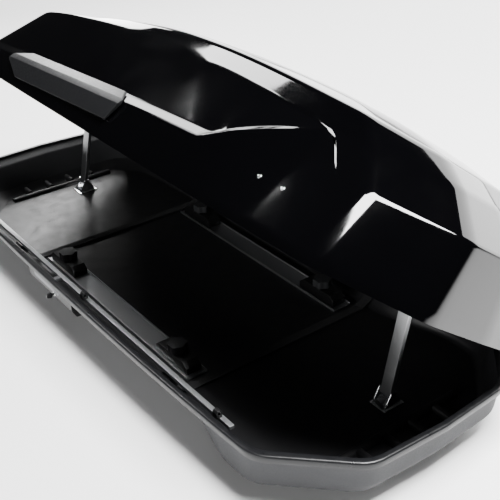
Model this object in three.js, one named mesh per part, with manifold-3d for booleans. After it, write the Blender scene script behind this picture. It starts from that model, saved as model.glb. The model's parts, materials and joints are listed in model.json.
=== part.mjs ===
// Roof cargo box with a lid that opens from the side, in millimetres.
// +X points to the nose, -Y is the side that opens, +Z is up.
// The origin is the middle of the flat underside of the base, which rests on the crossbars.
// The lid is modelled closed and then turned open about its far hinge pins.
import * as THREE from "three";
import { mergeVertices } from "three/addons/utils/BufferGeometryUtils.js";
import Module from "manifold-3d";

const wasm = await Module();
wasm.setup();

// ---- driving dimensions ----
const GAP = 0.4; // between pieces that touch
const NOSE_X = 1147; // base rim at the nose
const TAIL_X = -1150; // base rim at the tail
const HALF_WIDTH = 467; // base rim at the middle of each side
const RIM_Z = 135; // top of the base rim
const CROWN = 414; // lid above the rim plane, at its highest
const SKIN = 3; // thickness of the lid, across
const OPEN_DEG = 35; // how far the lid stands open
const HINGE_Y = 412; // lid pins, from the middle, on both sides
const HINGE_Z = 122;
const HANDLE_X = -280; // middle of the lid handles
const LOCK_X = -150; // middle of the locks
const SIDE_STATIONS = [820, 720, 620, 540, 470, 400, 260, 80, -100, -280, -460, -640, -820];

// ---- small geometry tools ----
const mix = (a, b, t) => a + (b - a) * t;

const smooth = (low, high, value) => THREE.MathUtils.smoothstep(value, low, high);

function solidOf(geometry) {
  const plain = geometry.clone();
  plain.deleteAttribute("normal");
  plain.deleteAttribute("uv");
  const merged = mergeVertices(plain, 1e-4);
  return new wasm.Manifold(
    new wasm.Mesh({
      numProp: 3,
      vertProperties: new Float32Array(merged.attributes.position.array),
      triVerts: new Uint32Array(merged.index.array),
    }),
  );
}

function geometryOf(solid) {
  const mesh = solid.getMesh();
  const geometry = new THREE.BufferGeometry();
  geometry.setAttribute("position", new THREE.BufferAttribute(mesh.vertProperties, 3));
  geometry.setIndex(new THREE.BufferAttribute(mesh.triVerts, 1));
  return geometry;
}

const cut = (body, ...tools) =>
  geometryOf(tools.reduce((left, tool) => left.subtract(solidOf(tool)), solidOf(body)));

const join = (first, ...others) =>
  geometryOf(others.reduce((sum, other) => sum.add(solidOf(other)), solidOf(first)));

function box(x0, x1, y0, y1, z0, z1) {
  const shape = new THREE.BoxGeometry(x1 - x0, y1 - y0, z1 - z0);
  return shape.translate((x0 + x1) / 2, (y0 + y1) / 2, (z0 + z1) / 2);
}

function outlineShape(points, holes = []) {
  const shape = new THREE.Shape(points.map(([u, v]) => new THREE.Vector2(u, v)));
  shape.holes = holes.map((hole) => new THREE.Path(hole.map(([u, v]) => new THREE.Vector2(u, v))));
  return shape;
}

const circle = (u, v, radius, count = 12) =>
  Array.from({ length: count }, (_, i) => {
    const turn = ((i + 0.5) / count) * 2 * Math.PI;
    return [u + radius * Math.cos(turn), v + radius * Math.sin(turn)];
  });

const extruded = (points, depth, holes) =>
  new THREE.ExtrudeGeometry(outlineShape(points, holes), { depth, bevelEnabled: false });

const X = new THREE.Vector3(1, 0, 0);
const Y = new THREE.Vector3(0, 1, 0);
const Z = new THREE.Vector3(0, 0, 1);

// an outline of [y, z] points carried along X
function prismX(points, x0, x1, holes) {
  const turn = new THREE.Matrix4().makeBasis(Y, Z, X);
  return extruded(points, x1 - x0, holes).applyMatrix4(turn).translate(x0, 0, 0);
}

// an outline of [x, z] points carried along Y
function prismY(points, y0, y1, holes) {
  const turn = new THREE.Matrix4().makeBasis(X, Z, Y.clone().negate());
  return extruded(points, y1 - y0, holes).applyMatrix4(turn).translate(0, y1, 0);
}

// an outline of [x, y] points carried along Z
const prismZ = (points, z0, z1, holes) => extruded(points, z1 - z0, holes).translate(0, 0, z0);

// ---- plan outline of the box ----
// points that round the corner between two straight stretches
function rounded(before, corner, after, radius, count = 4) {
  const start = corner.clone().lerp(before, radius / corner.distanceTo(before));
  const end = corner.clone().lerp(after, radius / corner.distanceTo(after));
  return new THREE.QuadraticBezierCurve(start, corner, end).getPoints(count - 1);
}

const sideWidth = (x) => HALF_WIDTH - 19 * Math.pow(Math.abs(x) / 945, 2.5);

const planPoint = (x, y) => new THREE.Vector2(x, y);

// half of the rim outline, from the middle of the nose round +Y to the middle of the tail
function halfOutline() {
  const nose = planPoint(NOSE_X, 0);
  const noseCorner = planPoint(1135, 240);
  const frontShoulder = planPoint(930, 449);
  const rearShoulder = planPoint(-985, 440);
  const tailCorner = planPoint(-1130, 300);
  const tail = planPoint(TAIL_X, 0);
  const side = SIDE_STATIONS.map((x) => planPoint(x, sideWidth(x)));
  return [
    nose,
    ...rounded(nose, noseCorner, frontShoulder, 34),
    ...rounded(noseCorner, frontShoulder, side[0], 34),
    ...side,
    ...rounded(side.at(-1), rearShoulder, tailCorner, 60),
    ...rounded(rearShoulder, tailCorner, tail, 60),
    tail,
  ];
}

const HALF = halfOutline();
const OUTLINE = [
  ...HALF,
  ...HALF.slice(1, -1)
    .reverse()
    .map((p) => planPoint(p.x, -p.y)),
];

const valueAt = (rule, x) => (typeof rule === "function" ? rule(x) : rule);

// the outline drawn in by side, nose and tail, at a height that may change along X
function ring({ side, nose, tail, z }) {
  return OUTLINE.map((p) => {
    const share = p.x > 0 ? 1 - nose / NOSE_X : 1 + tail / TAIL_X;
    const x = p.x * share;
    const y = p.y * (1 - valueAt(side, p.x) / HALF_WIDTH);
    return new THREE.Vector3(x, y, valueAt(z, x));
  });
}

// a closed surface through rings of equal count, closed flat across the first and the last
function loft(rings) {
  const count = rings[0].length;
  const positions = rings.flat().flatMap((p) => [p.x, p.y, p.z]);
  const faces = [];
  const quad = (a, b, c, d) => faces.push(a, b, c, a, c, d);
  for (let k = 0; k + 1 < rings.length; k++) {
    for (let i = 0; i < count; i++) {
      const j = (i + 1) % count;
      quad(k * count + i, k * count + j, (k + 1) * count + j, (k + 1) * count + i);
    }
  }
  const last = (rings.length - 1) * count;
  for (let i = 0; i < count / 2; i++) {
    const [a, b, c, d] = [i, i + 1, count - i - 1, (count - i) % count];
    const corners = [...new Set([a, b, c, d])];
    for (let t = 1; t + 1 < corners.length; t++) {
      faces.push(last + corners[0], last + corners[t], last + corners[t + 1]);
      faces.push(corners[0], corners[t + 1], corners[t]);
    }
  }
  const geometry = new THREE.BufferGeometry();
  geometry.setAttribute("position", new THREE.Float32BufferAttribute(positions, 3));
  geometry.setIndex(faces);
  return geometry;
}

// ---- finishes ----
const finish = (color, roughness, metalness = 0) =>
  new THREE.MeshStandardMaterial({ color, roughness, metalness });
const GLOSS_BLACK = finish(0x0b0b0d, 0.08);
const TEXTURED_GREY = finish(0x55575a, 0.75);
const SATIN_BLACK = finish(0x1a1a1c, 0.45);
const STEEL = finish(0xb9bcc0, 0.3, 1);
const GREY_METAL = finish(0x8c8f93, 0.4, 0.8);
const WEBBING = finish(0x161616, 0.9);
const SIGNAL = finish(0x9fa3a8, 0.5);

const cargoBox = new THREE.Group();
const lid = new THREE.Group();
lid.position.set(0, HINGE_Y, HINGE_Z);
lid.rotation.x = -THREE.MathUtils.degToRad(OPEN_DEG);
cargoBox.add(lid);

function add(name, geometry, material, parent = cargoBox) {
  const mesh = new THREE.Mesh(geometry, material);
  mesh.name = name;
  if (parent === lid) mesh.position.set(0, -HINGE_Y, -HINGE_Z);
  parent.add(mesh);
}

// ---- heights of the lid above the rim plane, along the box ----
// The ledge over the skirt climbs into the shoulder ahead of the middle,
// and comes down again as a crease that runs round the nose.
const frontStep = (x) => THREE.MathUtils.clamp((x - 425) / 270, 0, 1);
const noseStep = (x) => smooth(700, 860, x);
const NOSE_CREASE = 184;

function crownHeight(x) {
  const fromPeak = x - 200;
  return CROWN - (fromPeak > 0 ? 73 * (fromPeak / 947) ** 2 : 77 * (fromPeak / 900) ** 2);
}

function shoulderHeight(x) {
  const rear = 331 - 118 * (Math.max(0, -x) / 1150) ** 2;
  return mix(rear, 292, smooth(100, 750, x));
}

function creaseHeight(x) {
  return mix(shoulderHeight(x), crownHeight(x), mix(0.2, 0.67, smooth(-750, 0, x)));
}

const SKIRT_FOOT = { inset: -12, z: 6 };
const SHOULDER_INSET = 146;
const ledgeRise = (x) => mix(23, 8, frontStep(x));

// the flat wall from the skirt's foot to the shoulder: how far in it is at a height
function wallInset(x, z) {
  const up = (z - SKIRT_FOOT.z) / (shoulderHeight(x) - SKIRT_FOOT.z);
  return mix(SKIRT_FOOT.inset, SHOULDER_INSET, up);
}

function skirtHeight(x) {
  const rear = 128 - 75 * (Math.max(0, 450 - x) / 1600) ** 1.25;
  const front = mix(shoulderHeight(x) - 12, NOSE_CREASE, noseStep(x));
  return mix(rear, front, frontStep(x));
}

const skirtTopInset = (x) => mix(6, wallInset(x, skirtHeight(x)), frontStep(x));

const ledgeTop = (x) => skirtHeight(x) + ledgeRise(x);
const ledgeInset = (x) => mix(46, wallInset(x, ledgeTop(x)), frontStep(x));

// how far the outside of the lid's skirt lies from the middle, at a height
function skirtAt(x, z) {
  const up = (z - RIM_Z - SKIRT_FOOT.z) / (skirtHeight(x) - SKIRT_FOOT.z);
  return sideWidth(x) * (1 - mix(SKIRT_FOOT.inset, skirtTopInset(x), up) / HALF_WIDTH);
}

// ---- clamps on two crossbars ----
const BAR_X = 350; // each crossbar, from the middle
const CLAMP_Y = 285; // each clamp, from the middle
const BAR_HALF = 41; // half the widest bar that the jaws close on
const JAW_WIDTH = 36;
const PIVOT_OUT = 52; // jaw pivots, from the bar's middle
const PIVOT_Z = 23;
const FLOOR_TOP = 3;
const RAIL_TOP = 8;
const RAIL_HALF = 450;
const HOUSING_TOP = 44;

const clampPlaces = [
  ["front_near", BAR_X, -CLAMP_Y],
  ["front_far", BAR_X, CLAMP_Y],
  ["rear_near", -BAR_X, -CLAMP_Y],
  ["rear_far", -BAR_X, CLAMP_Y],
];

// the openings in the floor and the rail that the jaws reach down through
function jawSlots(x, y) {
  const half = JAW_WIDTH / 2 + 2;
  return [-1, 1].map((way) => {
    const near = x + way * (BAR_HALF + 1);
    const far = x + way * (BAR_HALF + 24);
    return box(Math.min(near, far), Math.max(near, far), y - half, y + half, -5, RAIL_TOP + 5);
  });
}

// an L-shaped jaw, hung from its pivot, that hooks under the bar
function jaw(x, y, way) {
  const out = PIVOT_OUT;
  const points = [
    [out + 8, PIVOT_Z - 3],
    [out + 5, PIVOT_Z + 7],
    [out - 5, PIVOT_Z + 7],
    [out - 9, PIVOT_Z],
    [out - 9, -24],
    [out - 12, -28],
    [out - 30, -28],
    [out - 33, -31],
    [out - 28, -36],
    [out - 8, -36],
    [out, -30],
    [out, PIVOT_Z - 8],
  ].map(([u, z]) => [x + way * u, z]);
  const bore = circle(x + way * out, PIVOT_Z, 4.6);
  return prismY(points, y - JAW_WIDTH / 2, y + JAW_WIDTH / 2, [bore]);
}

// a channel, open below, that carries the jaws on two cross pins
function clampHousing(x, y) {
  const [long, wide, wall] = [84, 26, 4];
  const top = prismY(
    [
      [x - long, RAIL_TOP + GAP],
      [x + long, RAIL_TOP + GAP],
      [x + long, HOUSING_TOP - 14],
      [x + long - 18, HOUSING_TOP],
      [x - long + 18, HOUSING_TOP],
      [x - long, HOUSING_TOP - 14],
    ],
    y - wide,
    y + wide,
  );
  const hollow = box(x - long + 6, x + long - 6, y - wide + wall, y + wide - wall, 0, HOUSING_TOP - 15);
  const deep = box(x - 64, x + 64, y - wide + wall, y + wide - wall, 0, HOUSING_TOP - 5);
  const spindleHole = prismZ(circle(x, y, 7, 16), HOUSING_TOP - 10, HOUSING_TOP + 5);
  const pins = [-1, 1].map((way) =>
    prismY(circle(x + way * PIVOT_OUT, PIVOT_Z, 4), y - wide + 1, y + wide - 1),
  );
  return join(cut(top, hollow, deep, spindleHole), ...pins);
}

// a lobed torque knob with its spindle
function clampKnob(x, y) {
  const lobes = 6;
  const grip = Array.from({ length: lobes * 6 }, (_, i) => {
    const turn = (i / (lobes * 6)) * 2 * Math.PI;
    const reach = 29 + 2.6 * Math.cos(lobes * turn);
    return [x + reach * Math.cos(turn), y + reach * Math.sin(turn)];
  });
  const body = prismZ(grip, HOUSING_TOP + GAP, HOUSING_TOP + 25);
  const spindle = prismZ(circle(x, y, 6, 16), HOUSING_TOP - 9, HOUSING_TOP + 2);
  return join(body, spindle);
}

for (const [place, x, y] of clampPlaces) {
  add(`clamp_housing_${place}`, clampHousing(x, y), SATIN_BLACK);
  add(`clamp_knob_${place}`, clampKnob(x, y), SIGNAL);
  add(`clamp_jaw_front_${place}`, jaw(x, y, 1), SATIN_BLACK);
  add(`clamp_jaw_rear_${place}`, jaw(x, y, -1), SATIN_BLACK);
}

// a channel rail under each pair of clamps, riveted to the floor
function clampRail(y) {
  const half = 36;
  const plate = prismX(
    [
      [y - half, FLOOR_TOP + GAP],
      [y + half, FLOOR_TOP + GAP],
      [y + half, RAIL_TOP + 4],
      [y + half - 3, RAIL_TOP + 4],
      [y + half - 3, RAIL_TOP],
      [y - half + 3, RAIL_TOP],
      [y - half + 3, RAIL_TOP + 4],
      [y - half, RAIL_TOP + 4],
    ],
    -RAIL_HALF,
    RAIL_HALF,
  );
  return cut(plate, ...jawSlots(BAR_X, y), ...jawSlots(-BAR_X, y));
}
add("clamp_rail_near", clampRail(-CLAMP_Y), GREY_METAL);
add("clamp_rail_far", clampRail(CLAMP_Y), GREY_METAL);

// ---- base shell ----
// the wall leans out from the floor to the rim, and the rim ends in a turned-down lip
const footSide = (x) => mix(92, 18, smooth(540, 850, x));
const FOOT = { side: footSide, nose: 36, tail: 120 };
const WALL_TOP = { side: 10, nose: 11, tail: 12 };
const WALL = 3.5;
const LIP = 20; // height of the turned-down edge
const even = (inset, z) => ({ side: inset, nose: inset, tail: inset, z });
const inwards = (from, extra, z) => ({
  side: (x) => valueAt(from.side, x) + extra,
  nose: from.nose + extra,
  tail: from.tail + extra,
  z,
});

const SLOT_HALF = 34; // opening in each wall for the lever's stem
const LEVER_Z = 105;

function baseShell() {
  const shell = loft(
    [
      inwards(FOOT, 10, 0),
      inwards(FOOT, 0, 12),
      inwards(WALL_TOP, 0, RIM_Z - 4),
      even(4, RIM_Z - 4),
      even(4, RIM_Z - LIP),
      even(0, RIM_Z - LIP),
      even(0, RIM_Z - 2),
      even(2, RIM_Z),
      even(20, RIM_Z),
      inwards(WALL_TOP, WALL, RIM_Z - 6),
      inwards(FOOT, WALL, 15),
      inwards(FOOT, 14, FLOOR_TOP),
    ].map(ring),
  );
  const slots = clampPlaces.flatMap(([, x, y]) => jawSlots(x, y));
  const stems = [-1, 1].map((side) => stemSlot(side));
  return cut(shell, ...slots, ...stems);
}

const between = (side, a, b) => (side > 0 ? [a, b] : [-b, -a]);

function stemSlot(side) {
  const [y0, y1] = between(side, 400, 480);
  return box(LOCK_X - SLOT_HALF, LOCK_X + SLOT_HALF, y0, y1, LEVER_Z - 7, LEVER_Z + 7);
}

add("base_shell", baseShell(), TEXTURED_GREY);

// how far the outside of the base wall lies from the middle, at a height
const wallAt = (z) =>
  HALF_WIDTH - mix(footSide(0), WALL_TOP.side, (z - 12) / (RIM_Z - 16));

// ---- locks: housing, slide lever, cylinder and key ----
const LEVER_TRAVEL = 24;
const ROD = { y0: 396, y1: 411, z0: 98, z1: 109 };
const CYLINDER = { x: LOCK_X + 34, z: 77, radius: 9 };
const LOCK_FACE = 452;

function lockHousing(side) {
  const profile = [
    [wallAt(117) + 1, 117],
    [LOCK_FACE, 117],
    [LOCK_FACE, 66],
    [LOCK_FACE - 16, 40],
    [wallAt(36) + 1, 36],
  ].map(([y, z]) => [side * y, z]);
  const body = prismX(profile, LOCK_X - 150, LOCK_X + 150);
  const around = circle(CYLINDER.x, CYLINDER.z, CYLINDER.radius + 1);
  const bore = prismY(around, ...between(side, 430, 470));
  return cut(body, stemSlot(side), bore);
}

// a long plate with round ends on the outside and a stem through the wall to the pull rod
function slideLever(side) {
  const half = 11;
  const end = (x, from) =>
    Array.from({ length: 7 }, (_, i) => {
      const turn = from + (i / 6) * Math.PI;
      return [x + half * Math.cos(turn), LEVER_Z - 4 + half * Math.sin(turn)];
    });
  const outline = [...end(LOCK_X + 70, -Math.PI / 2), ...end(LOCK_X - 84, Math.PI / 2)];
  const grip = prismY(outline, ...between(side, LOCK_FACE + 0.6, LOCK_FACE + 6.4));
  const [y0, y1] = between(side, ROD.y1 + GAP, LOCK_FACE + 4);
  return join(grip, box(LOCK_X - 8, LOCK_X + 8, y0, y1, LEVER_Z - 5, LEVER_Z + 4));
}

const cylinder = (side) =>
  prismY(
    circle(CYLINDER.x, CYLINDER.z, CYLINDER.radius),
    ...between(side, LOCK_FACE - 14, LOCK_FACE + 2),
  );

function key() {
  const front = LOCK_FACE + 3; // bow and shank stand off the cylinder's face
  const bow = [
    [front + 25, -7],
    [front + 11, -11],
    [front + 5, -4],
    [front + 5, 4],
    [front + 11, 11],
    [front + 25, 7],
  ].map(([y, z]) => [-y, CYLINDER.z + z]);
  const [x, z] = [CYLINDER.x, CYLINDER.z];
  const shank = box(x - 1, x + 1, -(front + 6), -(front - 0.6), z - 3.5, z + 3.5);
  return join(prismX(bow, x - 2.5, x + 2.5), shank);
}

// ---- pull rods, eyes and lid pins ----
const PIN_STATIONS = [
  ["front", 690],
  ["middle", -30],
  ["rear", -750],
];
const SIDES = [
  ["near", -1, LEVER_TRAVEL],
  ["far", 1, 0],
];

function pullRod(side) {
  const [y0, y1] = between(side, ROD.y0, ROD.y1);
  return box(-780, 790, y0, y1, ROD.z0, ROD.z1);
}

// an eye on the pull rod that slides over a lid pin
function latchEye(x, side) {
  const [y0, y1] = between(side, HINGE_Y - 10, HINGE_Y + 9);
  const blank = prismX(
    [
      [y0, ROD.z1 + GAP],
      [y1, ROD.z1 + GAP],
      [y1, HINGE_Z + 4],
      [y1 - 5, HINGE_Z + 10],
      [y0 + 5, HINGE_Z + 10],
      [y0, HINGE_Z + 4],
    ],
    x + 14,
    x + 32,
    [circle(side * HINGE_Y, HINGE_Z, 4.7)],
  );
  return blank;
}

// a post that drops from the lid's edge rail to a pin lying along X
const RAIL_LOW = 172;
const RAIL_HIGH = 192;
const lidInside = (x, z) => skirtAt(x, z) - SKIN - 11;
const edgeRailFace = (x) => lidInside(x, RAIL_HIGH) - 4;

function lidCatch(x, side) {
  const face = Math.min(edgeRailFace(x - 12), edgeRailFace(x + 12)) - GAP;
  const arm = prismX(
    [
      [HINGE_Y - 8, HINGE_Z - 5],
      [HINGE_Y + 8, HINGE_Z - 5],
      [HINGE_Y + 8, RAIL_LOW],
      [face, RAIL_LOW],
      [face, RAIL_HIGH - 2],
      [HINGE_Y + 4, RAIL_HIGH - 2],
      [HINGE_Y - 8, RAIL_HIGH - 14],
    ].map(([y, z]) => [side * y, z]),
    x - 10,
    x + 10,
  );
  return join(arm, prismX(circle(side * HINGE_Y, HINGE_Z, 4), x + 8, x + 36));
}

// a flat strip inside the lid's skirt, curved as the side is
function edgeRail(side) {
  const stations = [-800, ...SIDE_STATIONS.filter((x) => Math.abs(x) < 780).reverse(), 740];
  const sections = stations.map((x) => {
    const [outer, inner] = [lidInside(x, RAIL_HIGH), edgeRailFace(x)].map((y) => side * y);
    const [a, b] = side > 0 ? [inner, outer] : [outer, inner];
    return [
      new THREE.Vector3(x, a, RAIL_LOW),
      new THREE.Vector3(x, b, RAIL_LOW),
      new THREE.Vector3(x, b, RAIL_HIGH),
      new THREE.Vector3(x, a, RAIL_HIGH),
    ];
  });
  return loft(sections);
}

for (const [name, side, shift] of SIDES) {
  add(`lock_housing_${name}`, lockHousing(side), SATIN_BLACK);
  add(`slide_lever_${name}`, slideLever(side), GREY_METAL);
  add(`lock_cylinder_${name}`, cylinder(side), STEEL);
  add(`pull_rod_${name}`, pullRod(side), GREY_METAL);
  add(`lid_edge_rail_${name}`, edgeRail(side), GREY_METAL, lid);
  for (const [station, x] of PIN_STATIONS) {
    add(`latch_eye_${name}_${station}`, latchEye(x + shift, side), SATIN_BLACK);
    add(`lid_pin_${name}_${station}`, lidCatch(x, side), STEEL, lid);
  }
}
add("key", key(), SATIN_BLACK);

// ---- lid shell ----
const LID_RINGS = [
  { side: SKIRT_FOOT.inset - 1, nose: -22, tail: -16, z: -14 },
  { side: SKIRT_FOOT.inset, nose: -21, tail: -15, z: SKIRT_FOOT.z },
  { side: skirtTopInset, nose: 6, tail: 6, z: skirtHeight },
  { side: ledgeInset, nose: 10, tail: 34, z: ledgeTop },
  { side: SHOULDER_INSET, nose: 118, tail: 126, z: shoulderHeight },
  { side: 168, nose: 205, tail: 210, z: creaseHeight },
  { side: 270, nose: 380, tail: 360, z: (x) => crownHeight(x) - 6 },
  { side: 380, nose: 560, tail: 520, z: crownHeight },
];

function lidShell() {
  const outside = LID_RINGS.map((r) => ({ ...r, z: (x) => RIM_Z + valueAt(r.z, x) }));
  const inside = outside.map((r, i) => ({
    side: (x) => valueAt(r.side, x) + SKIN,
    nose: r.nose + SKIN,
    tail: r.tail + SKIN,
    z: i === 0 ? r.z : (x) => r.z(x) - SKIN,
  }));
  return loft([...inside.reverse(), ...outside].map(ring));
}
add("lid_shell", lidShell(), GLOSS_BLACK, lid);

// ---- lid handles ----
// an angular trim piece that wraps the ledge of each side and slopes with it
const HANDLE_REACH = 362; // its longest half, behind the middle

function lidHandle(side) {
  const ledge = skirtHeight(HANDLE_X);
  const top = ledgeTop(HANDLE_X);
  const trim = [
    [-262, ledge - 70],
    [322, ledge - 70],
    [350, ledge - 14],
    [350, ledge],
    [284, top + 6],
    [-305, top + 6],
    [-HANDLE_REACH, ledge],
    [-HANDLE_REACH, ledge - 20],
  ].map(([x, z]) => [HANDLE_X + x, RIM_Z + z]);
  const slab = prismY(trim, ...between(side, 380, 500));
  const wall = (z) => skirtAt(HANDLE_X, RIM_Z + z);
  const upper = HALF_WIDTH - ledgeInset(HANDLE_X);
  const profile = [
    [wall(ledge - 76) + 1.5, ledge - 76],
    [wall(ledge - 76) + 9, ledge - 72],
    [wall(ledge - 14) + 15, ledge - 14],
    [wall(ledge) + 6, ledge + 4],
    [upper + 8, top + 5],
    [upper + 2, top + 5],
    [upper + 2, top + 2],
    [wall(ledge) + 2, ledge + 2],
  ].map(([y, z]) => [side * y, RIM_Z + z]);
  const body = prismX(profile, HANDLE_X - HANDLE_REACH - 5, HANDLE_X + HANDLE_REACH + 5);
  const slope = Math.atan2(skirtHeight(HANDLE_X + 50) - skirtHeight(HANDLE_X - 50), 100);
  return geometryOf(solidOf(slab).intersect(solidOf(body)))
    .translate(-HANDLE_X, 0, -RIM_Z - ledge)
    .rotateY(-slope)
    .rotateZ(side * 0.008)
    .translate(HANDLE_X, 0, RIM_Z + ledge);
}
add("lid_handle_near", lidHandle(-1), SATIN_BLACK, lid);
add("lid_handle_far", lidHandle(1), SATIN_BLACK, lid);

// ---- lid lifters at the nose and the tail ----
const LIFTER_PLACES = [
  ["front", 880],
  ["rear", -880],
];
const FOOT_PIVOT = new THREE.Vector2(60, 45); // [y, z]
const LID_PIVOT = new THREE.Vector2(-60, 390); // [y, z] with the lid closed
const SLEEVE_LENGTH = 300;
const BLADE_LENGTH = 330;

// where a point of the closed lid is when the lid stands open
function opened(point) {
  const hinge = new THREE.Vector2(HINGE_Y, HINGE_Z);
  return point.clone().rotateAround(hinge, -THREE.MathUtils.degToRad(OPEN_DEG));
}
const TOP = opened(LID_PIVOT);
const LIFTER_REACH = TOP.distanceTo(FOOT_PIVOT);
const LIFTER_LEAN = Math.atan2(TOP.y - FOOT_PIVOT.y, TOP.x - FOOT_PIVOT.x);

// places a lifter piece, drawn upright from its foot pivot, along the lifter
function alongLifter(geometry, x) {
  return geometry
    .rotateX(LIFTER_LEAN - Math.PI / 2)
    .translate(x, FOOT_PIVOT.x, FOOT_PIVOT.y);
}

function lifterFoot(x) {
  const [y, z] = [FOOT_PIVOT.x, FOOT_PIVOT.y];
  const cheek = [
    [y - 34, FLOOR_TOP + GAP],
    [y + 34, FLOOR_TOP + GAP],
    [y + 9, z + 9],
    [y - 9, z + 9],
  ];
  const cheeks = [x - 25, x + 21].map((x0) => prismX(cheek, x0, x0 + 4));
  const plate = box(x - 32, x + 32, y - 38, y + 38, FLOOR_TOP + GAP, FLOOR_TOP + 4);
  return join(plate, ...cheeks, prismX(circle(y, z, 4), x - 23, x + 23));
}

function lifterSleeve(x) {
  const blank = box(-19, 19, -7, 7, -10, SLEEVE_LENGTH);
  const channel = box(-16, 16, -4, 4, 18, SLEEVE_LENGTH + 5);
  const bore = prismX(circle(0, 0, 4.7), -25, 25);
  return alongLifter(cut(blank, channel, bore), x);
}

function lifterBlade(x) {
  const bottom = LIFTER_REACH - BLADE_LENGTH;
  const blade = box(-15, 15, -3, 3, bottom, LIFTER_REACH + 8);
  const pin = prismX(circle(0, LIFTER_REACH, 4), 14, 28);
  const boss = box(-15, 15, -5, 5, LIFTER_REACH - 8, LIFTER_REACH + 8);
  return alongLifter(join(blade, boss, pin), x);
}

// a plate that hangs from the lid, with a long slot that the blade's pin runs in
function lifterLidPlate(x) {
  const [y, z] = [LID_PIVOT.x, LID_PIVOT.y];
  const under = RIM_Z + crownHeight(x) - 32;
  const outline = [
    [y - 30, z - 18],
    [y + 14, z - 18],
    [y + 26, under],
    [y - 40, under],
  ];
  const slot = [
    [y - 18, z - 12],
    [y + 7, z - 12],
    [y + 7, z + 7],
    [y - 18, z + 7],
  ];
  return prismX(outline, x + 17, x + 23, [slot]);
}

for (const [place, x] of LIFTER_PLACES) {
  add(`lifter_foot_${place}`, lifterFoot(x), STEEL);
  add(`lifter_sleeve_${place}`, lifterSleeve(x), GREY_METAL);
  add(`lifter_blade_${place}`, lifterBlade(x), STEEL);
  add(`lifter_lid_plate_${place}`, lifterLidPlate(x), SATIN_BLACK, lid);
}

// ---- load straps: webbing across the floor from a buckle to an anchor ----
const STRAP_WIDTH = 32;
const STRAP_THICK = 2.4;
const STRAP_PLACES = [
  ["front", 482],
  ["rear", -482],
];
const INSIDE_FOOT = { inset: footSide(0) + WALL, z: 15 };
const INSIDE_TOP = { inset: WALL_TOP.side + WALL, z: RIM_Z - 6 };

// a point on the inside of the base wall: up the slope from its foot, and off its face
function onWall(x, up, off) {
  const widthAt = (inset) => sideWidth(x) * (1 - inset / HALF_WIDTH);
  const foot = new THREE.Vector2(widthAt(INSIDE_FOOT.inset), INSIDE_FOOT.z);
  const slope = new THREE.Vector2(widthAt(INSIDE_TOP.inset), INSIDE_TOP.z).sub(foot).normalize();
  return [foot.x + slope.x * up - slope.y * off, foot.y + slope.y * up + slope.x * off];
}

const sided = (side, points) => points.map(([y, z]) => [side * y, z]);

// a band of even thickness along a path of [y, z] points
function band(path, thick) {
  const at = path.map(([y, z]) => new THREE.Vector2(y, z));
  const offset = (i, by) => {
    const along = at[Math.min(i + 1, at.length - 1)].clone().sub(at[Math.max(i - 1, 0)]);
    along.normalize();
    return [at[i].x - along.y * by, at[i].y + along.x * by];
  };
  const upper = at.map((_, i) => offset(i, thick / 2));
  const lower = at.map((_, i) => offset(i, -thick / 2));
  return [...upper, ...lower.reverse()];
}

const STRAP_OFF = 8; // middle of the webbing off the wall, inside its buckle

function strap(x) {
  const wall = (up, off) => onWall(x, up, off);
  const near = sided(-1, [wall(66, STRAP_OFF), wall(40, STRAP_OFF), wall(16, 6), wall(3, 9)]);
  const floor = [-330, -220, -110, 0, 110, 220, 330].map((y) => [y, 7]);
  const far = [wall(3, 9), wall(16, 6), wall(40, STRAP_OFF), wall(64, STRAP_OFF)];
  const path = band([...near, ...floor, ...far], STRAP_THICK);
  return prismX(path, x - STRAP_WIDTH / 2, x + STRAP_WIDTH / 2);
}

// a block on the wall with a pocket, open below, that takes the end of the webbing
function strapHolder(x, side, low, high, thick) {
  const block = [
    onWall(x, low, 2.8),
    onWall(x, high, 2.8),
    onWall(x, high, thick - 4),
    onWall(x, high - 5, thick),
    onWall(x, low + 3, thick),
    onWall(x, low, thick - 3),
  ];
  const [below, above] = [STRAP_OFF - 2, STRAP_OFF + 2];
  const pocket = [
    onWall(x, low - 5, below),
    onWall(x, high - 7, below),
    onWall(x, high - 7, above),
    onWall(x, low - 5, above),
  ];
  const [inner, outer] = [STRAP_WIDTH / 2 + 1, STRAP_WIDTH / 2 + 6];
  return cut(
    prismX(sided(side, block), x - outer, x + outer),
    prismX(sided(side, pocket), x - inner, x + inner),
  );
}

for (const [place, x] of STRAP_PLACES) {
  add(`strap_${place}`, strap(x), WEBBING);
  add(`strap_buckle_${place}`, strapHolder(x, -1, 42, 78, 15), SATIN_BLACK);
  add(`strap_anchor_${place}`, strapHolder(x, 1, 48, 76, 11), SATIN_BLACK);
}

export default cargoBox;
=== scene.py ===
"""Looks of the roof cargo box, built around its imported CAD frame.

+X is the nose, -Y the side that opens, +Z up. Shell sizes are in millimetres, as in the CAD part,
and become metres when a mesh is made. The lid is drawn closed and then turned open about its hinge.
"""

import json

import bmesh
import bpy
import numpy as np
from mathutils import Matrix, Vector

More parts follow.
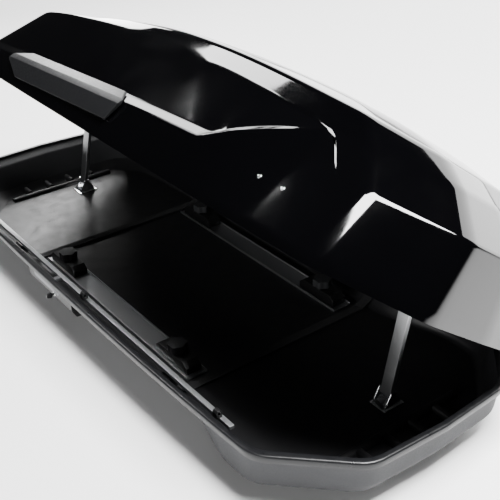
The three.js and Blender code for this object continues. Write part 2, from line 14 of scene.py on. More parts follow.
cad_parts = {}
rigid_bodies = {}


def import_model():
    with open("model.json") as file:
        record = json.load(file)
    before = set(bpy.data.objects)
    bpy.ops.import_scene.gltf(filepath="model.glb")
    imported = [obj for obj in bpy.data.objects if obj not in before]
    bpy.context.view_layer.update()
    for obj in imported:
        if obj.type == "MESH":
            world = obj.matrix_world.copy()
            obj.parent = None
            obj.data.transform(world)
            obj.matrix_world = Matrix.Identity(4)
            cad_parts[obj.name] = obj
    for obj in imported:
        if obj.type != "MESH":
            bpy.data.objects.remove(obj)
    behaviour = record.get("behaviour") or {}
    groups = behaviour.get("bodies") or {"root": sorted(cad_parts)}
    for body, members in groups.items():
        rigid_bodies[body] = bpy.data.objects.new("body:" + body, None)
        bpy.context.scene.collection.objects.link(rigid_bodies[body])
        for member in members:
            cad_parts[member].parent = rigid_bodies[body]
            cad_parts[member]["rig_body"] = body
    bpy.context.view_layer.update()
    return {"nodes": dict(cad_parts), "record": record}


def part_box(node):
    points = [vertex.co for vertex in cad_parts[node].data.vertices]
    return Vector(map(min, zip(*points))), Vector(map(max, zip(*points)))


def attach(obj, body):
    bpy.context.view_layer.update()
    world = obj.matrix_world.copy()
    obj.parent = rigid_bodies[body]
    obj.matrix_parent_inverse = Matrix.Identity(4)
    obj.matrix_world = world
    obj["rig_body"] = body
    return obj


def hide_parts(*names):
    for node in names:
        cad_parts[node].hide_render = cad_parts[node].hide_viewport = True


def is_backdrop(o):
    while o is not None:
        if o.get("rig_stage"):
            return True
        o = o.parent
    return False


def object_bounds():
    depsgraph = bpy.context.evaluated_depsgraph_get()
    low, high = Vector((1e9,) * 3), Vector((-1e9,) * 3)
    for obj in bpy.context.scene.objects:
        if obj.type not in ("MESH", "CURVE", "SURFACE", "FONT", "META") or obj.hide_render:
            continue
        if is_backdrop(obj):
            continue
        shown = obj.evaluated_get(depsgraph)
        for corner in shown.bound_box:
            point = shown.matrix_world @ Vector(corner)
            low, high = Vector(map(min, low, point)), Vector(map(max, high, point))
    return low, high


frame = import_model()
NODES = frame["nodes"]


# ---- driving sizes, in millimetres ----
MM = 0.001
NOSE_X = 1147.0
TAIL_X = -1150.0
HALF_WIDTH = 467.0
SIDE_TAPER = 19.0  # how far the side has drawn in at TAPER_END
TAPER_END = 945.0

RIM_Z = 135.0
LIP = 20.0  # how far the rim turns down outside
LIP_THICK = 4.0
RIM_SHELF = 20.0  # width of the rim's flat top
FLOOR_TOP = 3.0
WALL = 3.5

SKIN = 3.0  # of the lid
HINGE = np.array([412.0, 122.0])  # y and z of the far lid pins
OPEN_DEG = 35.0
CROWN = 414.0  # lid heights are above the rim
CROWN_X = 200.0  # where the lid is highest
CROWN_FALL_NOSE = 73.0  # how far the crown has fallen at the nose
CROWN_FALL_TAIL = 77.0  # and CROWN_FALL_REACH behind the highest place
CROWN_FALL_REACH = 900.0
SHOULDER_REAR = 331.0
SHOULDER_FRONT = 292.0
SHOULDER_BLEND = (100.0, 750.0)  # X range over which one rule passes into the next, here and below
SHOULDER_FALL = 118.0
SHOULDER_INSET = 146.0
CREASE_SHARE = (0.2, 0.67)  # of the way from shoulder to crown, at the tail and at the nose
CREASE_BLEND = (-750.0, 0.0)
SKIRT_REAR = 128.0
SKIRT_FALL = 75.0
SKIRT_FALL_X = 450.0  # where the skirt begins to fall towards the tail
SKIRT_FALL_REACH = 1600.0
SKIRT_BELOW_SHOULDER = 12.0
SKIRT_TOP_INSET = 6.0
LEDGE_CLIMB = (425.0, 695.0)  # X range where the ledge climbs to the shoulder
LEDGE_RISE = (23.0, 8.0)  # of the ledge's own slope, behind the climb and ahead of it
LEDGE_INSET = 46.0
NOSE_CREASE = 184.0
NOSE_BLEND = (700.0, 860.0)
FOOT_INSET = -12.0
FOOT_HEIGHT = 6.0

FOLD_REAR = 112.0  # height of the base wall's fold along the side
FOLD_NOSE = 40.0  # and at the nose
FOLD_BLEND = (925.0, 1125.0)
FOLD_BULGE = 5.0  # how far the fold stands out beyond the straight wall at the nose
FOLD_BULGE_BLEND = (600.0, 1100.0)
BASE_FOOT_SIDE = (92.0, 18.0)  # insets of the base wall's foot along the side and beside the nose
BASE_FOOT_BLEND = (540.0, 850.0)
BASE_FOOT_HEIGHT = 12.0
BASE_FOOT_NOSE = 36.0  # insets of the base wall's foot at the two ends
BASE_FOOT_TAIL = 120.0

LOCK_X = -150.0
BAR_HALF = 41.0  # half the widest crossbar
JAW_WIDTH = 36.0
JAW_SLOT = 24.0  # length of a jaw's slot along X
JAW_PLAY = 2.5
CLAMP_X = 350.0
CLAMP_Y = 285.0
CLAMPS = [(x, y) for x in (CLAMP_X, -CLAMP_X) for y in (-CLAMP_Y, CLAMP_Y)]
JAWS = [(x, y, way) for x, y in CLAMPS for way in (-1, 1)]


# ---- number helpers ----
def mix(a, b, t):
    return a + (b - a) * t


def smooth(low, high, value):
    """0 below low, 1 above high, and an even passage between them."""
    t = np.clip((np.asarray(value, float) - low) / (high - low), 0.0, 1.0)
    return t * t * (3.0 - 2.0 * t)


def at(rule, x):
    """The value of a rule along X, where a rule is a function or one number for the whole length."""
    return rule(x) if callable(rule) else np.full_like(x, float(rule))


def curve(start, corner, end, steps):
    """Points of a rounding that leaves start towards corner and arrives at end."""
    turns = np.linspace(0.0, 1.0, steps)
    return [(1 - t) ** 2 * start + 2 * t * (1 - t) * corner + t * t * end for t in turns]


# ---- plan outline, the same curve as the CAD part's, drawn finer ----
NOSE_ROUND = 40.0  # how far a corner's rounding reaches along its two sides
TAIL_ROUND = 60.0
CORNER_STEPS = 10
OUTLINE_STEP = 24.0


def side_width(x):
    return HALF_WIDTH - SIDE_TAPER * np.abs(np.asarray(x, float) / TAPER_END) ** 2.5


def straight(a, b, step):
    count = max(1, int(np.hypot(*(b - a)) / step))
    return [mix(a, b, i / count) for i in range(count)]


def rounded(before, corner, after, reach):
    start = mix(corner, before, reach / np.hypot(*(before - corner)))
    end = mix(corner, after, reach / np.hypot(*(after - corner)))
    return curve(start, corner, end, CORNER_STEPS)


def half_outline():
    """The far half of the outline, from the middle of the nose round to the middle of the tail."""
    places = [(NOSE_X, 0), (1135, 240), (930, 449), (-985, 440), (-1130, 300), (TAIL_X, 0)]
    nose, nose_corner, front, rear, tail_corner, tail = np.array(places, float)
    side = [np.array([x, side_width(x)]) for x in np.arange(860.0, -881.0, -20.0)]
    stretches = [
        rounded(nose, nose_corner, front, NOSE_ROUND),
        rounded(nose_corner, front, side[0], NOSE_ROUND),
        side,
        rounded(side[-1], rear, tail_corner, TAIL_ROUND),
        rounded(rear, tail_corner, tail, TAIL_ROUND),
    ]
    path = straight(nose, stretches[0][0], OUTLINE_STEP)
    for stretch, following in zip(stretches, stretches[1:] + [[tail]]):
        path += stretch[:-1] + straight(stretch[-1], following[0], OUTLINE_STEP)
    return np.array(path + [tail])


HALF = half_outline()
OUTLINE = np.vstack([HALF, HALF[1:-1][::-1] * [1, -1]])


def ring(side, nose, tail, z):
    """The outline drawn in by side, nose and tail, at a height that may change along X."""
    x0, y0 = OUTLINE.T
    share = np.where(x0 > 0, 1.0 - nose / NOSE_X, 1.0 + tail / TAIL_X)
    x = x0 * share
    y = y0 * (1.0 - at(side, x0) / HALF_WIDTH)
    return np.stack([x, y, at(z, x)], axis=1)


def filleted(rings, rounds):
    """Rings of a shell with each corner between two stretches rounded off.

    rounds holds, for each ring, how far the rounding reaches along its two stretches and its steps.
    """
    out = [rings[0]]
    for before, corner, after, (reach, steps) in zip(rings, rings[1:], rings[2:], rounds[1:]):
        if steps < 2:
            out.append(corner)
            continue
        back, ahead = before - corner, after - corner
        back_share = np.minimum(reach / (np.linalg.norm(back, axis=1) + 1e-6), 0.5)[:, None]
        ahead_share = np.minimum(reach / (np.linalg.norm(ahead, axis=1) + 1e-6), 0.5)[:, None]
        start, end = corner + back * back_share, corner + ahead * ahead_share
        out += curve(start, corner, end, steps)
    out.append(rings[-1])
    return out


# ---- lid heights above the rim plane, as in the CAD part ----
def front_step(x):
    """0 behind the place where the ledge climbs to the shoulder, 1 ahead of it."""
    start, end = LEDGE_CLIMB
    return np.clip((x - start) / (end - start), 0.0, 1.0)


def nose_step(x):
    """0 along the side, 1 from where the skirt's top is the nose's crease."""
    return smooth(*NOSE_BLEND, x)


def crown_height(x):
    from_peak = x - CROWN_X
    ahead = CROWN_FALL_NOSE * (from_peak / (NOSE_X - CROWN_X)) ** 2
    behind = CROWN_FALL_TAIL * (from_peak / CROWN_FALL_REACH) ** 2
    return CROWN - np.where(from_peak > 0, ahead, behind)


def shoulder_height(x):
    rear = SHOULDER_REAR - SHOULDER_FALL * (np.maximum(0, -x) / -TAIL_X) ** 2
    return mix(rear, SHOULDER_FRONT, smooth(*SHOULDER_BLEND, x))


def crease_height(x):
    """The crease between shoulder and crown: near the shoulder at the tail and nearer the crown ahead."""
    return mix(shoulder_height(x), crown_height(x), mix(*CREASE_SHARE, smooth(*CREASE_BLEND, x)))


def wall_inset(x, z):
    """How far the lid's leaning side wall is drawn in at a height."""
    up = (z - FOOT_HEIGHT) / (shoulder_height(x) - FOOT_HEIGHT)
    return mix(FOOT_INSET, SHOULDER_INSET, up)


def skirt_height(x):
    rear = SKIRT_REAR - SKIRT_FALL * (np.maximum(0, SKIRT_FALL_X - x) / SKIRT_FALL_REACH) ** 1.25
    front = mix(shoulder_height(x) - SKIRT_BELOW_SHOULDER, NOSE_CREASE, nose_step(x))
    return mix(rear, front, front_step(x))


def ledge_top(x):
    return skirt_height(x) + mix(*LEDGE_RISE, front_step(x))


def skirt_top_inset(x):
    return mix(SKIRT_TOP_INSET, wall_inset(x, skirt_height(x)), front_step(x))


def ledge_inset(x):
    return mix(LEDGE_INSET, wall_inset(x, ledge_top(x)), front_step(x))


# side, nose and tail insets, height above the rim, then the rounding's reach and steps
LID_STATIONS = [
    (FOOT_INSET - 1, -22, -16, -14, 0, 1),
    (FOOT_INSET, -21, -15, FOOT_HEIGHT, 12, 4),
    (skirt_top_inset, 6, 6, skirt_height, 3.2, 6),
    (ledge_inset, 10, 34, ledge_top, 5, 6),
    (SHOULDER_INSET, 118, 126, shoulder_height, 13, 9),
    (168, 205, 210, crease_height, 16, 8),
    (270, 380, 360, lambda x: crown_height(x) - 6, 400, 14),
    (380, 560, 520, crown_height, 400, 10),
    (HALF_WIDTH, 700, 660, lambda x: crown_height(x) + 2, 0, 1),
]


def lid_surface(skin):
    """The rings of one face of the lid, closed, from its foot to the line along its middle."""
    rings = []
    last = len(LID_STATIONS) - 1
    for i, (side, nose, tail, z, _, _) in enumerate(LID_STATIONS):
        inward = 0 if i == last else skin
        drop = 0 if i == 0 else skin
        drawn_in = lambda x: at(side, x) + inward
        height = lambda x: RIM_Z + at(z, x) - drop
        rings.append(ring(drawn_in, nose + skin, tail + skin, height))
    return filleted(rings, [(reach, steps) for *_, reach, steps in LID_STATIONS])


def opened(points):
    """Points of the closed lid where they are when the lid stands open."""
    turn = -np.radians(OPEN_DEG)
    y, z = points[:, 1] - HINGE[0], points[:, 2] - HINGE[1]
    return np.stack(
        [
            points[:, 0],
            HINGE[0] + y * np.cos(turn) - z * np.sin(turn),
            HINGE[1] + y * np.sin(turn) + z * np.cos(turn),
        ],
        axis=1,
    )


# ---- mesh helpers ----
MERGE = 1e-5  # points closer than this, in metres, become one
EMPTY = 1e-6  # edges shorter than this are dropped
SHELL_CREASE_DEG = 34.0  # edges of the two shells sharper than this stay sharp


def link(name, mesh):
    piece = bpy.data.objects.new(name, mesh)
    bpy.context.scene.collection.objects.link(piece)
    return piece


def mesh_of(name, points, faces):
    mesh = bpy.data.meshes.new(name)
    mesh.from_pydata([tuple(p) for p in np.asarray(points) * MM], [], faces)
    mesh.validate()
    return mesh


def lofted(rings):
    """Points and faces of a surface through closed rings of equal count."""
    count = len(rings[0])
    faces = []
    for k in range(len(rings) - 1):
        low, high = k * count, (k + 1) * count
        for i in range(count):
            j = (i + 1) % count
            faces.append((low + i, low + j, high + j, high + i))
    return np.vstack(rings), faces


def clean(mesh):
    """Merges touching points, drops empty faces and turns the faces outwards."""
    work = bmesh.new()
    work.from_mesh(mesh)
    bmesh.ops.remove_doubles(work, verts=work.verts, dist=MERGE)
    bmesh.ops.dissolve_degenerate(work, edges=work.edges, dist=EMPTY)
    bmesh.ops.recalc_face_normals(work, faces=work.faces)
    work.to_mesh(mesh)
    work.free()


def shade(piece, angle):
    """Smooth shading that keeps edges sharper than the angle."""
    piece.data.shade_smooth()
    work = bmesh.new()
    work.from_mesh(piece.data)
    limit = float(np.radians(angle))
    for edge in work.edges:
        edge.smooth = edge.calc_face_angle(0.0) < limit
    work.to_mesh(piece.data)
    work.free()


def apply_modifiers(piece):
    graph = bpy.context.evaluated_depsgraph_get()
    graph.update()
    result = bpy.data.meshes.new_from_object(piece.evaluated_get(graph))
    piece.modifiers.clear()
    piece.data = result


# ---- materials ----
NOISE_LOW = 0.3  # the range where most of a noise's values lie
NOISE_HIGH = 0.7


class Finish:
    """A node material around one Principled shader, placed by object coordinates in metres."""

    def __init__(self, name, color, roughness, metallic=0.0, **direct):
        self.material = bpy.data.materials.new(name)
        self.material.use_nodes = True
        self.nodes = self.material.node_tree.nodes
        self.links = self.material.node_tree.links
        self.shader = self.nodes["Principled BSDF"]
        self.base = color
        self.shader.inputs["Base Color"].default_value = (*color, 1.0)
        self.shader.inputs["Roughness"].default_value = roughness
        self.shader.inputs["Metallic"].default_value = metallic
        for key, value in direct.items():
            self.shader.inputs[key.replace("_", " ")].default_value = value
        self.place = self.nodes.new("ShaderNodeTexCoord").outputs["Object"]
        self.normal = None

    def stretched(self, scale):
        """The object's coordinates, scaled apart along each axis."""
        node = self.nodes.new("ShaderNodeMapping")
        node.inputs["Scale"].default_value = scale
        self.links.new(self.place, node.inputs["Vector"])
        return node.outputs["Vector"]

    def noise(self, scale, detail, place=None):
        node = self.nodes.new("ShaderNodeTexNoise")
        node.inputs["Scale"].default_value = scale
        node.inputs["Detail"].default_value = detail
        self.links.new(place or self.place, node.inputs["Vector"])
        return node.outputs["Fac"]

    def cells(self, scale):
        """Small soft dimples, as on a textured mould."""
        node = self.nodes.new("ShaderNodeTexVoronoi")
        node.feature = "SMOOTH_F1"
        node.inputs["Scale"].default_value = scale
        self.links.new(self.place, node.inputs["Vector"])
        return node.outputs["Distance"]

    def wave(self, scale, axis):
        """Even bands across an axis."""
        node = self.nodes.new("ShaderNodeTexWave")
        node.wave_type = "BANDS"
        node.bands_direction = axis
        node.inputs["Scale"].default_value = scale
        self.links.new(self.place, node.inputs["Vector"])
        return node.outputs["Fac"]

    def maths(self, kind, a, b):
        node = self.nodes.new("ShaderNodeMath")
        node.operation = kind
        for socket, value in zip(node.inputs, (a, b)):
            if isinstance(value, (int, float)):
                socket.default_value = value
            else:
                self.links.new(value, socket)
        return node.outputs[0]

    def ranged(self, value, low, high):
        """A noise spread from low to high."""
        node = self.nodes.new("ShaderNodeMapRange")
        self.links.new(value, node.inputs["Value"])
        node.inputs["From Min"].default_value = NOISE_LOW
        node.inputs["From Max"].default_value = NOISE_HIGH
        node.inputs["To Min"].default_value = low
        node.inputs["To Max"].default_value = high
        return node.outputs["Result"]

    def colour(self, value, dark, light):
        """The base colour runs from dark to light times itself as the value goes from 0 to 1."""
        node = self.nodes.new("ShaderNodeMix")
        node.data_type = "RGBA"
        self.links.new(value, node.inputs["Factor"])
        node.inputs["A"].default_value = (*[c * dark for c in self.base], 1.0)
        node.inputs["B"].default_value = (*[min(1.0, c * light) for c in self.base], 1.0)
        self.links.new(node.outputs["Result"], self.shader.inputs["Base Color"])
        return self

    def roughness(self, value, low, high):
        self.links.new(self.ranged(value, low, high), self.shader.inputs["Roughness"])
        return self

    def bump(self, value, depth, strength=1.0):
        """Adds a bump of that depth in metres."""
        node = self.nodes.new("ShaderNodeBump")
        node.inputs["Strength"].default_value = strength
        node.inputs["Distance"].default_value = depth
        self.links.new(value, node.inputs["Height"])
        if self.normal is not None:
            self.links.new(self.normal, node.inputs["Normal"])
        self.normal = node.outputs["Normal"]
        self.links.new(self.normal, self.shader.inputs["Normal"])
        return self


def gloss_finish():
    f = Finish("gloss_black", (0.0006, 0.0006, 0.0008), 0.05, IOR=1.5)
    f.roughness(f.noise(9.0, 4.0), 0.035, 0.075)
    f.bump(f.noise(38.0, 1.0), 0.00006, 0.5)
    f.bump(f.noise(900.0, 2.0), 0.000002, 0.4)
    return f.material


def inner_lid_finish():
    f = Finish("inner_lid_black", (0.005, 0.005, 0.0055), 0.42)
    f.roughness(f.noise(30.0, 4.0), 0.34, 0.5)
    f.bump(f.noise(1400.0, 3.0), 0.00004)
    return f.material


def wall_finish():
    f = Finish("textured_grey", (0.034, 0.0345, 0.0365), 0.6, IOR=1.3)
    f.colour(f.noise(14.0, 5.0), 0.9, 1.1)
    f.roughness(f.noise(260.0, 3.0), 0.55, 0.7)
    f.bump(f.cells(760.0), 0.00016, 0.8)
    f.bump(f.noise(2200.0, 2.0), 0.00005, 0.6)
    return f.material


def rim_finish():
    f = Finish("rim_black", (0.005, 0.0052, 0.006), 0.28, IOR=1.4)
    f.roughness(f.noise(60.0, 4.0), 0.27, 0.4)
    f.bump(f.noise(1300.0, 2.0), 0.00003, 0.7)
    return f.material


def floor_finish():
    f = Finish("floor_black", (0.015, 0.015, 0.0162), 0.4, IOR=1.4)
    f.colour(f.noise(7.0, 6.0), 0.92, 1.1)
    f.roughness(f.noise(24.0, 5.0), 0.36, 0.46)
    f.bump(f.cells(900.0), 0.0001, 0.7)
    return f.material


def moulded_finish(name, color, roughness, grain=1600.0):
    f = Finish(name, color, roughness)
    f.colour(f.noise(40.0, 4.0), 0.88, 1.12)
    f.roughness(f.noise(180.0, 3.0), roughness - 0.07, roughness + 0.07)
    f.bump(f.noise(grain, 3.0), 0.00005, 0.8)
    return f.material


def handle_finish():
    f = Finish("handle_grey", (0.006, 0.0062, 0.0068), 0.34, IOR=1.25)
    f.colour(f.noise(22.0, 5.0), 0.85, 1.15)
    f.roughness(f.noise(140.0, 4.0), 0.36, 0.5)
    f.bump(f.cells(1300.0), 0.00007, 0.7)
    return f.material


def brushed_finish(name, color, roughness, streaks):
    """Metal with fine streaks along the axis whose scale is small."""
    f = Finish(name, color, roughness, 1.0)
    lines = f.noise(1.0, 3.0, f.stretched(streaks))
    f.colour(lines, 0.85, 1.1)
    f.roughness(lines, roughness - 0.07, roughness + 0.12)
    f.bump(lines, 0.00002, 0.5)
    return f.material


def plated_finish():
    f = Finish("plated_steel", (0.78, 0.79, 0.8), 0.14, 1.0)
    f.roughness(f.noise(90.0, 4.0), 0.09, 0.22)
    f.bump(f.noise(500.0, 2.0), 0.00001, 0.5)
    return f.material


def lever_finish():
    f = Finish("lever_grey", (0.2, 0.205, 0.215), 0.36, 0.75)
    f.colour(f.noise(900.0, 3.0), 0.8, 1.2)
    f.roughness(f.noise(200.0, 3.0), 0.3, 0.44)
    f.bump(f.noise(1500.0, 2.0), 0.00002)
    return f.material


def webbing_finish():
    """Woven polyester: ribs across the strap and yarns along it."""
    f = Finish("webbing_black", (0.008, 0.008, 0.009), 0.8, Sheen_Weight=0.12, Sheen_Roughness=0.5)
    ribs = f.wave(150.0, "Y")
    yarns = f.wave(210.0, "X")
    weave = f.maths("MAXIMUM", ribs, f.maths("MULTIPLY", yarns, 0.85))
    f.colour(weave, 0.55, 1.5)
    f.bump(weave, 0.0003, 0.9)
    f.bump(f.noise(3000.0, 2.0), 0.00006, 0.6)
    return f.material


MATERIALS = {
    "lid_gloss": gloss_finish(),
    "inner_lid": inner_lid_finish(),
    "base_texture": wall_finish(),
    "rim": rim_finish(),
    "floor": floor_finish(),
    "handle_trim": handle_finish(),
    "moulded_black": moulded_finish("moulded_black", (0.006, 0.006, 0.0065), 0.4),
    "knob_plastic": moulded_finish("knob_grey", (0.03, 0.031, 0.033), 0.45, 1200.0),
    "key_plastic": moulded_finish("key_black", (0.006, 0.006, 0.0065), 0.35),
    "lever_grey": lever_finish(),
    "lifter_grey": brushed_finish("lifter_anodised", (0.36, 0.365, 0.37), 0.36, (900.0, 900.0, 12.0)),
    "bright_steel": plated_finish(),
    "rail_metal": brushed_finish("mill_aluminium", (0.5, 0.51, 0.52), 0.38, (10.0, 900.0, 900.0)),
    "webbing": webbing_finish(),
}


def dress(piece, *slots):
    """Gives a piece its materials; its faces keep their material numbers."""
    mesh = piece.data
    numbers = [0] * len(mesh.polygons)
    if len(slots) > 1:
        mesh.polygons.foreach_get("material_index", numbers)
    mesh.materials.clear()
    for slot in slots:
        mesh.materials.append(MATERIALS[slot])
    mesh.polygons.foreach_set("material_index", numbers)


# ---- lid shell ----
def lid_shell():
    outside = lid_surface(0.0)
    inside = lid_surface(SKIN)
    outer_points, outer_faces = lofted(outside)
    inner_points, inner_faces = lofted(inside[::-1])
    start = len(outer_points)
    foot = len(inside[0])
    last = start + len(inner_points) - foot
    edge = [(last + i, last + (i + 1) % foot, (i + 1) % foot, i) for i in range(foot)]
    faces = outer_faces + [tuple(start + v for v in face) for face in inner_faces] + edge
    points = opened(np.vstack([outer_points, inner_points]))
    mesh = mesh_of("lid_cover", points, faces)
    for polygon in mesh.polygons:
        polygon.material_index = 1 if min(polygon.vertices) >= start else 0
    clean(mesh)
    piece = link("lid_cover", mesh)
    dress(piece, "lid_gloss", "inner_lid")
    shade(piece, SHELL_CREASE_DEG)
    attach(piece, "lid")
    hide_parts("lid_shell")


# ---- base shell ----
def foot_side(x):
    """Inset of the base wall's foot: it widens towards the nose."""
    return mix(*BASE_FOOT_SIDE, smooth(*BASE_FOOT_BLEND, x))


def fold_height(x):
    """Where the base wall folds in: it runs down across each nose corner and stays low at the nose."""
    return mix(FOLD_REAR, FOLD_NOSE, smooth(*FOLD_BLEND, x))


def fold_inset(x):
    up = (fold_height(x) - BASE_FOOT_HEIGHT) / (RIM_Z - BASE_FOOT_HEIGHT - 4)
    return mix(foot_side(x), 10, up) - FOLD_BULGE * smooth(*FOLD_BULGE_BLEND, x)


# side, nose and tail insets, height, the rounding's reach and steps, and the material's index
BASE_STATIONS = [
    (HALF_WIDTH, 700, 700, 0, 0, 1, 0),
    (lambda x: foot_side(x) + 12, BASE_FOOT_NOSE + 12, BASE_FOOT_TAIL + 12, 0, 8, 4, 0),
    (foot_side, BASE_FOOT_NOSE, BASE_FOOT_TAIL, BASE_FOOT_HEIGHT, 14, 5, 0),
    (fold_inset, 20, 60, fold_height, 7, 5, 0),
    (8, 9, 11, RIM_Z - 8, 2, 3, 0),
    (LIP_THICK, LIP_THICK, LIP_THICK, RIM_Z - 8, 1, 2, 0),
    (LIP_THICK, LIP_THICK, LIP_THICK, RIM_Z - LIP, 1, 2, 1),
    (0, 0, 0, RIM_Z - LIP, 1.4, 3, 1),
    (0, 0, 0, RIM_Z, 9, 8, 1),
    (RIM_SHELF, RIM_SHELF, RIM_SHELF, RIM_Z, 4, 5, 1),
    (11 + WALL, 12 + WALL, 13 + WALL, RIM_Z - 7, 3, 4, 1),
    (lambda x: foot_side(x) + WALL, BASE_FOOT_NOSE + WALL, BASE_FOOT_TAIL + WALL, 15, 14, 5, 2),
    (lambda x: foot_side(x) + 17, BASE_FOOT_NOSE + 17, BASE_FOOT_TAIL + 17, FLOOR_TOP, 8, 4, 2),
    (HALF_WIDTH, 700, 700, FLOOR_TOP, 0, 1, 2),
]


def base_shell():
    rings = [ring(side, nose, tail, z) for side, nose, tail, z, *_ in BASE_STATIONS]
    rounds = [(reach, steps) for *_, reach, steps, _ in BASE_STATIONS]
    points, faces = lofted(filleted(rings, rounds))
    stretch = []
    for i, (*_, steps, index) in enumerate(BASE_STATIONS):
        stretch += [index] * (1 if i in (0, len(BASE_STATIONS) - 1) else max(1, steps))
    mesh = mesh_of("base_tub", points, faces)
    count = len(rings[0])
    for number, polygon in enumerate(mesh.polygons):
        polygon.material_index = stretch[min(number // count + 1, len(stretch) - 1)]
    clean(mesh)
    piece = link("base_tub", mesh)
    dress(piece, "base_texture", "rim", "floor")
    cut_openings(piece)
    shade(piece, SHELL_CREASE_DEG)
    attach(piece, "base")
    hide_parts("base_shell")


def cut_openings(piece):
    """Cuts the slots for the clamp jaws and the lever stems through the base."""
    work = bmesh.new()
    half_width = JAW_WIDTH / 2 + JAW_PLAY
    for x, y, way in JAWS:
        ends = sorted([x + way * (BAR_HALF + 0.5), x + way * (BAR_HALF + 0.5 + JAW_SLOT)])
        low = Vector((ends[0], y - half_width, -6)) * MM
        high = Vector((ends[1], y + half_width, 14)) * MM
        add_box(work, low, high)
    for side in ("near", "far"):
        low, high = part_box("slide_lever_" + side)
        middle = (low.y + high.y) / 2 / MM
        low = Vector((LOCK_X - 34, middle - 30, 98)) * MM
        high = Vector((LOCK_X + 34, middle + 30, 112)) * MM
        add_box(work, low, high)
    mesh = bpy.data.meshes.new("openings")
    work.to_mesh(mesh)
    work.free()
    cutter = link("openings", mesh)
    modifier = piece.modifiers.new("openings", "BOOLEAN")
    modifier.operation = "DIFFERENCE"
    modifier.solver = "EXACT"
    modifier.object = cutter
    apply_modifiers(piece)
    bpy.data.objects.remove(cutter)


def add_box(work, low, high):
    made = bmesh.ops.create_cube(work, size=1.0)["verts"]
    bmesh.ops.scale(work, vec=high - low, verts=made)
    bmesh.ops.translate(work, vec=(low + high) / 2, verts=made)


# ---- CAD pieces with rounded edges ----
FLAT_DEG = 0.6  # faces that meet at less than this become one
SHARP_DEG = 24.0  # edges sharper than this are rounded


def refined(node, slot, bevel):
    """A copy of a CAD piece with its edges rounded, which stands for it."""
    source = NODES[node]
    mesh = source.data.copy()
    work = bmesh.new()
    work.from_mesh(mesh)
    bmesh.ops.remove_doubles(work, verts=work.verts, dist=1e-6)
    bmesh.ops.dissolve_limit(work, angle_limit=np.radians(FLAT_DEG), verts=work.verts, edges=work.edges)
    limit = np.radians(SHARP_DEG)
    sharp = [edge for edge in work.edges if len(edge.link_faces) == 2 and edge.calc_face_angle() > limit]
    bmesh.ops.bevel(
        work,
        geom=sharp,
        offset=bevel * MM,
        segments=3,
        profile=0.6,
        affect="EDGES",
        clamp_overlap=True,
        harden_normals=False,
    )
    bmesh.ops.dissolve_degenerate(work, edges=work.edges, dist=EMPTY)
    work.to_mesh(mesh)
    work.free()
    mesh.name = node + "_fine"
    piece = link(node + "_fine", mesh)
    dress(piece, slot)
    shade(piece, 40.0)
    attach(piece, source["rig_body"])
    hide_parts(node)


SLOTS = {row["node"]: row["material_slot"] for row in frame["record"]["subparts"]}

# how far the edges of each kind of piece are rounded, in millimetres
BEVELS = {
    "clamp_housing": 2.0,
    "clamp_knob": 1.6,
    "clamp_jaw": 0.8,
    "clamp_rail": 0.5,
    "lock_housing": 2.5,
    "slide_lever": 1.4,
    "lock_cylinder": 0.5,
    "key": 0.7,
    "latch_eye": 0.8,
    "lid_pin": 0.8,
    "lid_edge_rail": 0.5,
    "lid_handle": 2.0,
    "lifter_foot": 0.7,
    "lifter_sleeve": 0.8,
    "lifter_blade": 0.6,
    "lifter_lid_plate": 0.7,
    "strap_buckle": 1.0,
    "strap_anchor": 1.0,
    "pull_rod": 0.8,
}


def refine_hardware():
    for node in sorted(NODES):
        for prefix, bevel in BEVELS.items():
            if node.startswith(prefix):
                refined(node, SLOTS[node], bevel)


# ---- small details ----
RIVET_RADIUS = 6.5
RIVET_FLATNESS = 0.4  # height over radius
RIVET_HEIGHT = 108.0  # above the rim
RIVETS_X = (658.0, 739.0)


def rivet(name, place, outward):
    """A low round rivet head on the lid."""
    work = bmesh.new()
    bmesh.ops.create_uvsphere(work, u_segments=20, v_segments=10, radius=RIVET_RADIUS * MM)
    bmesh.ops.scale(work, vec=(1, 1, RIVET_FLATNESS), verts=work.verts)
    mesh = bpy.data.meshes.new(name)
    turn = Vector(outward).to_track_quat("Z", "Y").to_matrix().to_4x4()
    bmesh.ops.transform(work, matrix=Matrix.Translation(place) @ turn, verts=work.verts)
    work.to_mesh(mesh)
    work.free()
    piece = link(name, mesh)
    dress(piece, "bright_steel")
    piece.data.shade_smooth()
    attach(piece, "lid")


def lid_skin_point(x, z, side):
    """A point of the closed lid's side at a height above the rim, with its outward direction."""
    up = (z - FOOT_HEIGHT) / (skirt_height(x) - FOOT_HEIGHT)
    y = side * side_width(x) * (1 - mix(FOOT_INSET, skirt_top_inset(x), up) / HALF_WIDTH)
    lean = (skirt_top_inset(x) - FOOT_INSET) / (skirt_height(x) - FOOT_HEIGHT)
    return np.array([x, y, RIM_Z + z]), np.array([0.0, side, lean])


def lid_rivets():
    """Two rivets on each side of the lid, low in its wall near the nose."""
    for side, name in ((-1, "near"), (1, "far")):
        for i, x in enumerate(RIVETS_X):
            point, outward = lid_skin_point(x, RIVET_HEIGHT, side)
            place, tip = opened(np.array([point, point + outward]))
            rivet(f"lid_rivet_{name}_{i}", Vector(place * MM), tip - place)


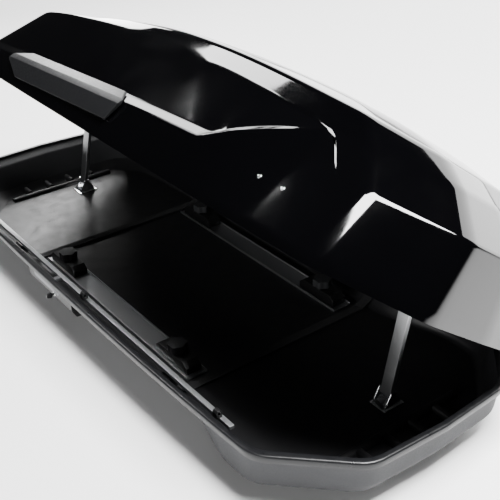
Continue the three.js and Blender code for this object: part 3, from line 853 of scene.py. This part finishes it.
def bead(name, start, end, width, height):
    """A raised bead of half-round section between two points of the base's floor."""
    start, end = Vector(start) * MM, Vector(end) * MM
    along = (end - start).normalized()
    across = along.cross(Vector((0, 0, 1)))
    work = bmesh.new()
    rows = []
    for angle in np.linspace(0.0, np.pi, 9):
        offset = across * (np.cos(angle) * width / 2 * MM) + Vector((0, 0, np.sin(angle) * height * MM))
        rows.append([work.verts.new(start + offset), work.verts.new(end + offset)])
    for low, high in zip(rows, rows[1:]):
        work.faces.new((low[0], low[1], high[1], high[0]))
    work.faces.new([row[0] for row in rows])
    work.faces.new([row[1] for row in rows][::-1])
    work.faces.new((rows[0][0], rows[-1][0], rows[-1][1], rows[0][1]))
    bmesh.ops.recalc_face_normals(work, faces=work.faces)
    mesh = bpy.data.meshes.new(name)
    work.to_mesh(mesh)
    work.free()
    piece = link(name, mesh)
    dress(piece, "floor")
    shade(piece, 50.0)
    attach(piece, "base")


def floor_beads():
    """Stiffening beads in the floor of the nose and the tail."""
    low = FLOOR_TOP - 1
    for name, x, reach, out in (("nose", 972.0, 235.0, 1), ("tail", -965.0, 220.0, -1)):
        bead("bead_" + name, (x, -reach, low), (x, reach, low), 30, 14)
        for i, y in enumerate((-140.0, -45.0, 50.0, 145.0)):
            bead(f"rib_{name}_{i}", (x + out * 10, y, low), (x + out * 72, y, low), 26, 20)


def strap_sheets():
    """The load straps are sheets; this gives each of them the webbing material."""
    for place in ("front", "rear"):
        strap = NODES["strap_" + place]
        dress(strap, "webbing")


# ---- stage, light and camera ----
CAMERA_PLACE = (2.241, -1.407, 1.637)  # metres
CAMERA_TURN = 53.5  # azimuth, degrees
CAMERA_FALL = 29.9  # elevation, degrees
CAMERA_ROLL = -1.42
FOCAL = 902.0  # in the units of PICTURE
PICTURE = 500.0  # width of the picture
SENSOR = 36.0
FLOOR_REACH = 40.0
FLOOR_GAP = 0.001  # below the lowest piece


def camera():
    turn, fall, roll = np.radians([CAMERA_TURN, CAMERA_FALL, CAMERA_ROLL])
    back = Vector((np.sin(turn) * np.cos(fall), -np.cos(turn) * np.cos(fall), np.sin(fall)))
    right = Vector((np.cos(turn), np.sin(turn), 0.0))
    up = back.cross(right)
    right_rolled = right * np.cos(roll) + up * np.sin(roll)
    up_rolled = up * np.cos(roll) - right * np.sin(roll)
    data = bpy.data.cameras.new("camera")
    data.sensor_width = SENSOR
    data.lens = FOCAL / PICTURE * SENSOR
    data.clip_end = 200.0
    view = bpy.data.objects.new("camera", data)
    basis = Matrix((right_rolled, up_rolled, back)).transposed().to_4x4()
    view.matrix_world = Matrix.Translation(CAMERA_PLACE) @ basis
    bpy.context.scene.collection.objects.link(view)
    bpy.context.scene.camera = view


def floor():
    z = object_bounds()[0][2] - FLOOR_GAP
    r = FLOOR_REACH
    mesh = bpy.data.meshes.new("floor")
    mesh.from_pydata([(-r, -r, z), (r, -r, z), (r, r, z), (-r, r, z)], [], [(0, 1, 2, 3)])
    ground = link("floor", mesh)
    ground.data.materials.append(Finish("pale_floor", (0.86, 0.86, 0.86), 0.7).material)
    ground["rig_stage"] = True


def panel(name, place, aim, size, power, upright=(0, 0, 1)):
    """A softbox at a place, facing a point, with the second of its sizes along upright."""
    data = bpy.data.lights.new(name, "AREA")
    data.shape = "RECTANGLE"
    data.size, data.size_y = size
    data.energy = power
    lamp = bpy.data.objects.new(name, data)
    away = (Vector(place) - Vector(aim)).normalized()
    across = Vector(upright).cross(away).normalized()
    basis = Matrix((across, away.cross(across), away)).transposed().to_4x4()
    lamp.matrix_world = Matrix.Translation(place) @ basis
    bpy.context.scene.collection.objects.link(lamp)


def lights():
    """A dim room and five softboxes, placed so that the gloss lid shows its ledge, shoulder and creases."""
    world = bpy.data.worlds.new("world")
    world.use_nodes = True
    background = world.node_tree.nodes["Background"]
    background.inputs["Color"].default_value = (1, 1, 1, 1)
    background.inputs["Strength"].default_value = 0.02
    bpy.context.scene.world = world
    panel("far_wall", (-4.5, 5.0, 2.7), (-4.5, 0, 2.7), (15.0, 5.2), 1900)
    lid_top, climb = (0.3, 0, 0.8), (0, -2.2, 3.9)
    panel("tail_strip_low", (-3.2, 0.85, 1.95), lid_top, (0.4, 1.4), 60, climb)
    panel("tail_strip_high", (-3.2, -0.5, 3.9), lid_top, (0.75, 1.1), 80, climb)
    panel("top", (1.9, 0.7, 5.0), (1.9, 0.7, 0), (1.9, 2.3), 1400, (0, 1, 0))
    panel("near_low", (1.5, -6.0, 1.2), (0.5, 0, 0.1), (6.0, 1.5), 250)


lid_shell()
base_shell()
refine_hardware()
lid_rivets()
floor_beads()
for node in NODES.values():
    dress(node, SLOTS[node.name])
strap_sheets()
camera()
floor()
lights()
